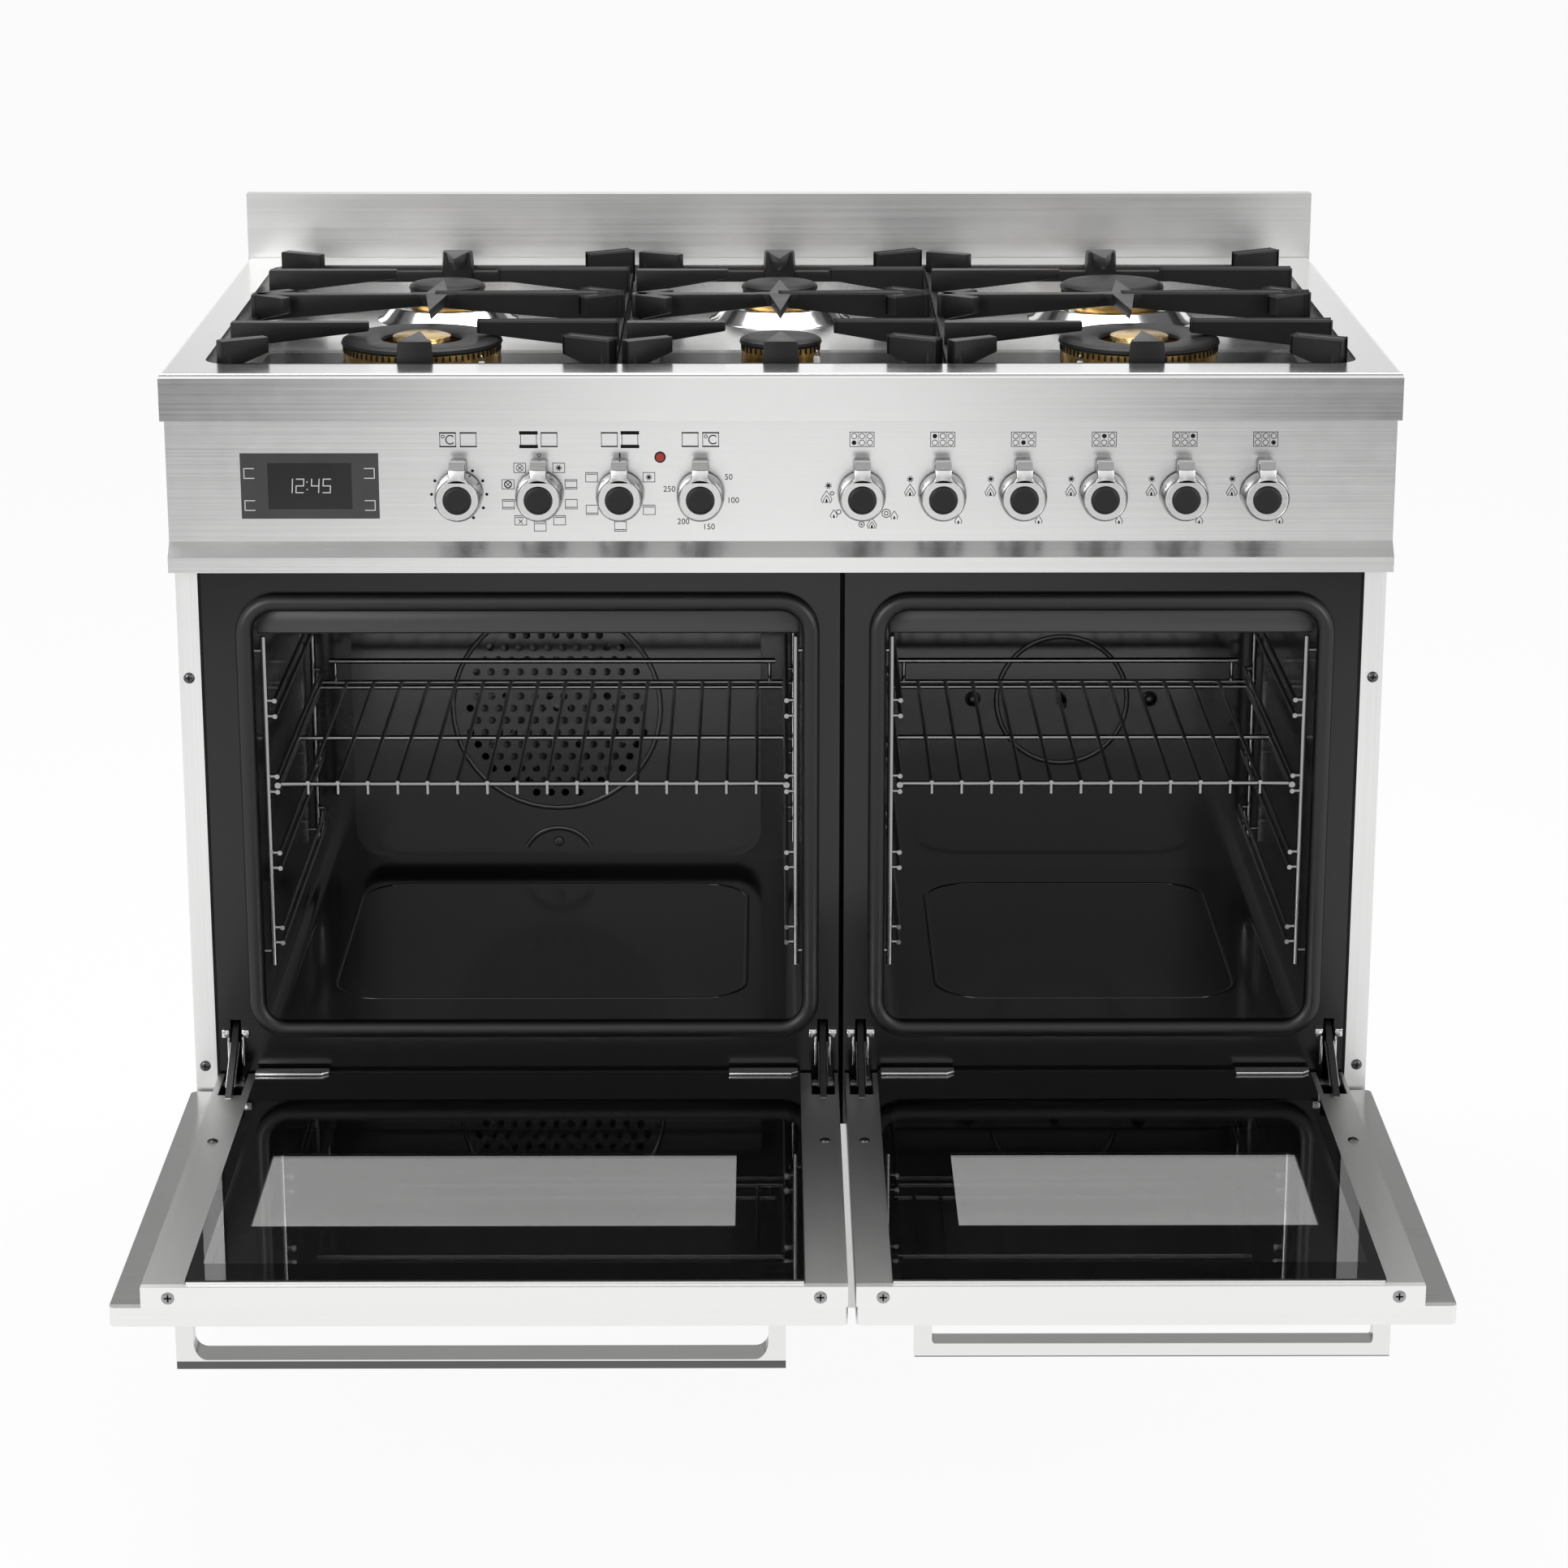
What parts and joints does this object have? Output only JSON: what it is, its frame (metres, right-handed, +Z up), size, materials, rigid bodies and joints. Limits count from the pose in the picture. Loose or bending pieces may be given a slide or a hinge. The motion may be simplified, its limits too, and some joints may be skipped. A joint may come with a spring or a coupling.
{
  "type": "gas cooker",
  "caption": "Free-standing wide gas cooker: a burner hob with cast pan supports over a control panel with knobs and a clock, and two ovens with drop-down doors and sliding wire shelves.",
  "frame": {"origin": "floor level, in the middle of the footprint with both doors open as in the picture", "axes": "+X to the cooker's right as seen from the front, +Y to its back, +Z up"},
  "size_m": [1, 1.052, 0.91],
  "materials": {
    "grey_steel": "satin",
    "brushed_steel": "brushed",
    "feet": "matte",
    "display": "gloss",
    "display_glass": "gloss",
    "lamp": "gloss",
    "brass": "satin",
    "pipe": "satin",
    "switches": "matte",
    "enamel": "gloss enamel",
    "seal": "matte",
    "fan": "satin",
    "chrome_wire": "bright",
    "burner_cap": "matte enamel",
    "ceramic": "gloss",
    "cast_iron": "matte",
    "inner_glass": "gloss",
    "window_glass": "gloss",
    "knob": "satin metal and black"
  },
  "bodies": {
    "cooker": {"side_panels": "grey_steel", "back_panel": "grey_steel", "base_tray": "grey_steel", "plinth_panel": "grey_steel", "hob_top": "brushed_steel", "backguard": "brushed_steel", "control_panel": "brushed_steel", "front_strips": "brushed_steel", "hinge_brackets": "brushed_steel", "feet": "feet", "display_module": "display", "display_glass": "display_glass", "indicator_lens": "lamp", "gas_taps": "brass", "burner_bodies": "brass", "gas_manifold": "pipe", "oven_switches": "switches", "oven_fronts": "enamel", "oven_cavity_left": "enamel", "oven_cavity_right": "enamel", "fan_cover": "enamel", "door_seals": "seal", "fan_motor": "fan", "grill_elements": "chrome_wire", "shelf_rails": "chrome_wire", "burner_skirts": "chrome_wire", "burner_caps": "burner_cap", "spark_plugs": "ceramic", "pan_support_left": "cast_iron", "pan_support_centre": "cast_iron", "pan_support_right": "cast_iron"},
    "door_left": {"door_left_skin": "brushed_steel", "door_left_window": "window_glass", "door_left_frame": "brushed_steel", "door_left_glass": "inner_glass", "door_left_handle": "brushed_steel"},
    "shelf_left": {"shelf_left": "chrome_wire"},
    "door_right": {"door_right_skin": "brushed_steel", "door_right_window": "window_glass", "door_right_frame": "brushed_steel", "door_right_glass": "inner_glass", "door_right_handle": "brushed_steel"},
    "shelf_right": {"shelf_right": "chrome_wire"},
    "fan": {"fan": "fan"},
    "oven_knob_1": {"oven_knob_1": "knob"},
    "oven_knob_2": {"oven_knob_2": "knob"},
    "oven_knob_3": {"oven_knob_3": "knob"},
    "oven_knob_4": {"oven_knob_4": "knob"},
    "gas_plug_1": {"gas_plug_1": "brass"},
    "gas_knob_1": {"gas_knob_1": "knob"},
    "gas_plug_2": {"gas_plug_2": "brass"},
    "gas_knob_2": {"gas_knob_2": "knob"},
    "gas_plug_3": {"gas_plug_3": "brass"},
    "gas_knob_3": {"gas_knob_3": "knob"},
    "gas_plug_4": {"gas_plug_4": "brass"},
    "gas_knob_4": {"gas_knob_4": "knob"},
    "gas_plug_5": {"gas_plug_5": "brass"},
    "gas_knob_5": {"gas_knob_5": "knob"},
    "gas_plug_6": {"gas_plug_6": "brass"},
    "gas_knob_6": {"gas_knob_6": "knob"}
  },
  "joints": [
    {"name": "door_left_hinge", "type": "hinge", "parent": "cooker", "child": "door_left", "pos_m": [0, -0.085, 0.242], "axis": [1, 0, 0], "range_deg": [-90, 0]},
    {"name": "door_right_hinge", "type": "hinge", "parent": "cooker", "child": "door_right", "pos_m": [0, -0.085, 0.242], "axis": [1, 0, 0], "range_deg": [-90, 0]},
    {"name": "grid_left_slide", "type": "slide", "parent": "cooker", "child": "shelf_left", "axis": [0, -1, 0], "range_m": [0, 0.25]},
    {"name": "grid_right_slide", "type": "slide", "parent": "cooker", "child": "shelf_right", "axis": [0, -1, 0], "range_m": [0, 0.25]},
    {"name": "fan_spin", "type": "hinge", "parent": "cooker", "child": "fan", "pos_m": [-0.20825, 0.377, 0.451], "axis": [0, 1, 0], "continuous": true},
    {"name": "knob_oven_1_turn", "type": "hinge", "parent": "cooker", "child": "oven_knob_1", "pos_m": [-0.2612, -0.089, 0.749], "axis": [0, 1, 0], "range_deg": [0, 300]},
    {"name": "knob_oven_2_turn", "type": "hinge", "parent": "cooker", "child": "oven_knob_2", "pos_m": [-0.1959, -0.089, 0.749], "axis": [0, 1, 0], "range_deg": [0, 300]},
    {"name": "knob_oven_3_turn", "type": "hinge", "parent": "cooker", "child": "oven_knob_3", "pos_m": [-0.1306, -0.089, 0.749], "axis": [0, 1, 0], "range_deg": [0, 300]},
    {"name": "knob_oven_4_turn", "type": "hinge", "parent": "cooker", "child": "oven_knob_4", "pos_m": [-0.0653, -0.089, 0.749], "axis": [0, 1, 0], "range_deg": [0, 300]},
    {"name": "knob_gas_1_turn", "type": "hinge", "parent": "cooker", "child": "gas_plug_1", "pos_m": [0.0653, -0.089, 0.749], "axis": [0, -1, 0], "range_deg": [0, 240]},
    {"name": "knob_gas_2_turn", "type": "hinge", "parent": "cooker", "child": "gas_plug_2", "pos_m": [0.1306, -0.089, 0.749], "axis": [0, -1, 0], "range_deg": [0, 210]},
    {"name": "knob_gas_3_turn", "type": "hinge", "parent": "cooker", "child": "gas_plug_3", "pos_m": [0.1959, -0.089, 0.749], "axis": [0, -1, 0], "range_deg": [0, 210]},
    {"name": "knob_gas_4_turn", "type": "hinge", "parent": "cooker", "child": "gas_plug_4", "pos_m": [0.2612, -0.089, 0.749], "axis": [0, -1, 0], "range_deg": [0, 210]},
    {"name": "knob_gas_5_turn", "type": "hinge", "parent": "cooker", "child": "gas_plug_5", "pos_m": [0.3265, -0.089, 0.749], "axis": [0, -1, 0], "range_deg": [0, 210]},
    {"name": "knob_gas_6_turn", "type": "hinge", "parent": "cooker", "child": "gas_plug_6", "pos_m": [0.3918, -0.089, 0.749], "axis": [0, -1, 0], "range_deg": [0, 210]},
    {"name": "knob_gas_1_push", "type": "slide", "parent": "gas_plug_1", "child": "gas_knob_1", "axis": [0, 1, 0], "range_m": [0, 0.003], "stiffness_N_per_m": 600},
    {"name": "knob_gas_2_push", "type": "slide", "parent": "gas_plug_2", "child": "gas_knob_2", "axis": [0, 1, 0], "range_m": [0, 0.003], "stiffness_N_per_m": 600},
    {"name": "knob_gas_3_push", "type": "slide", "parent": "gas_plug_3", "child": "gas_knob_3", "axis": [0, 1, 0], "range_m": [0, 0.003], "stiffness_N_per_m": 600},
    {"name": "knob_gas_4_push", "type": "slide", "parent": "gas_plug_4", "child": "gas_knob_4", "axis": [0, 1, 0], "range_m": [0, 0.003], "stiffness_N_per_m": 600},
    {"name": "knob_gas_5_push", "type": "slide", "parent": "gas_plug_5", "child": "gas_knob_5", "axis": [0, 1, 0], "range_m": [0, 0.003], "stiffness_N_per_m": 600},
    {"name": "knob_gas_6_push", "type": "slide", "parent": "gas_plug_6", "child": "gas_knob_6", "axis": [0, 1, 0], "range_m": [0, 0.003], "stiffness_N_per_m": 600}
  ]
}
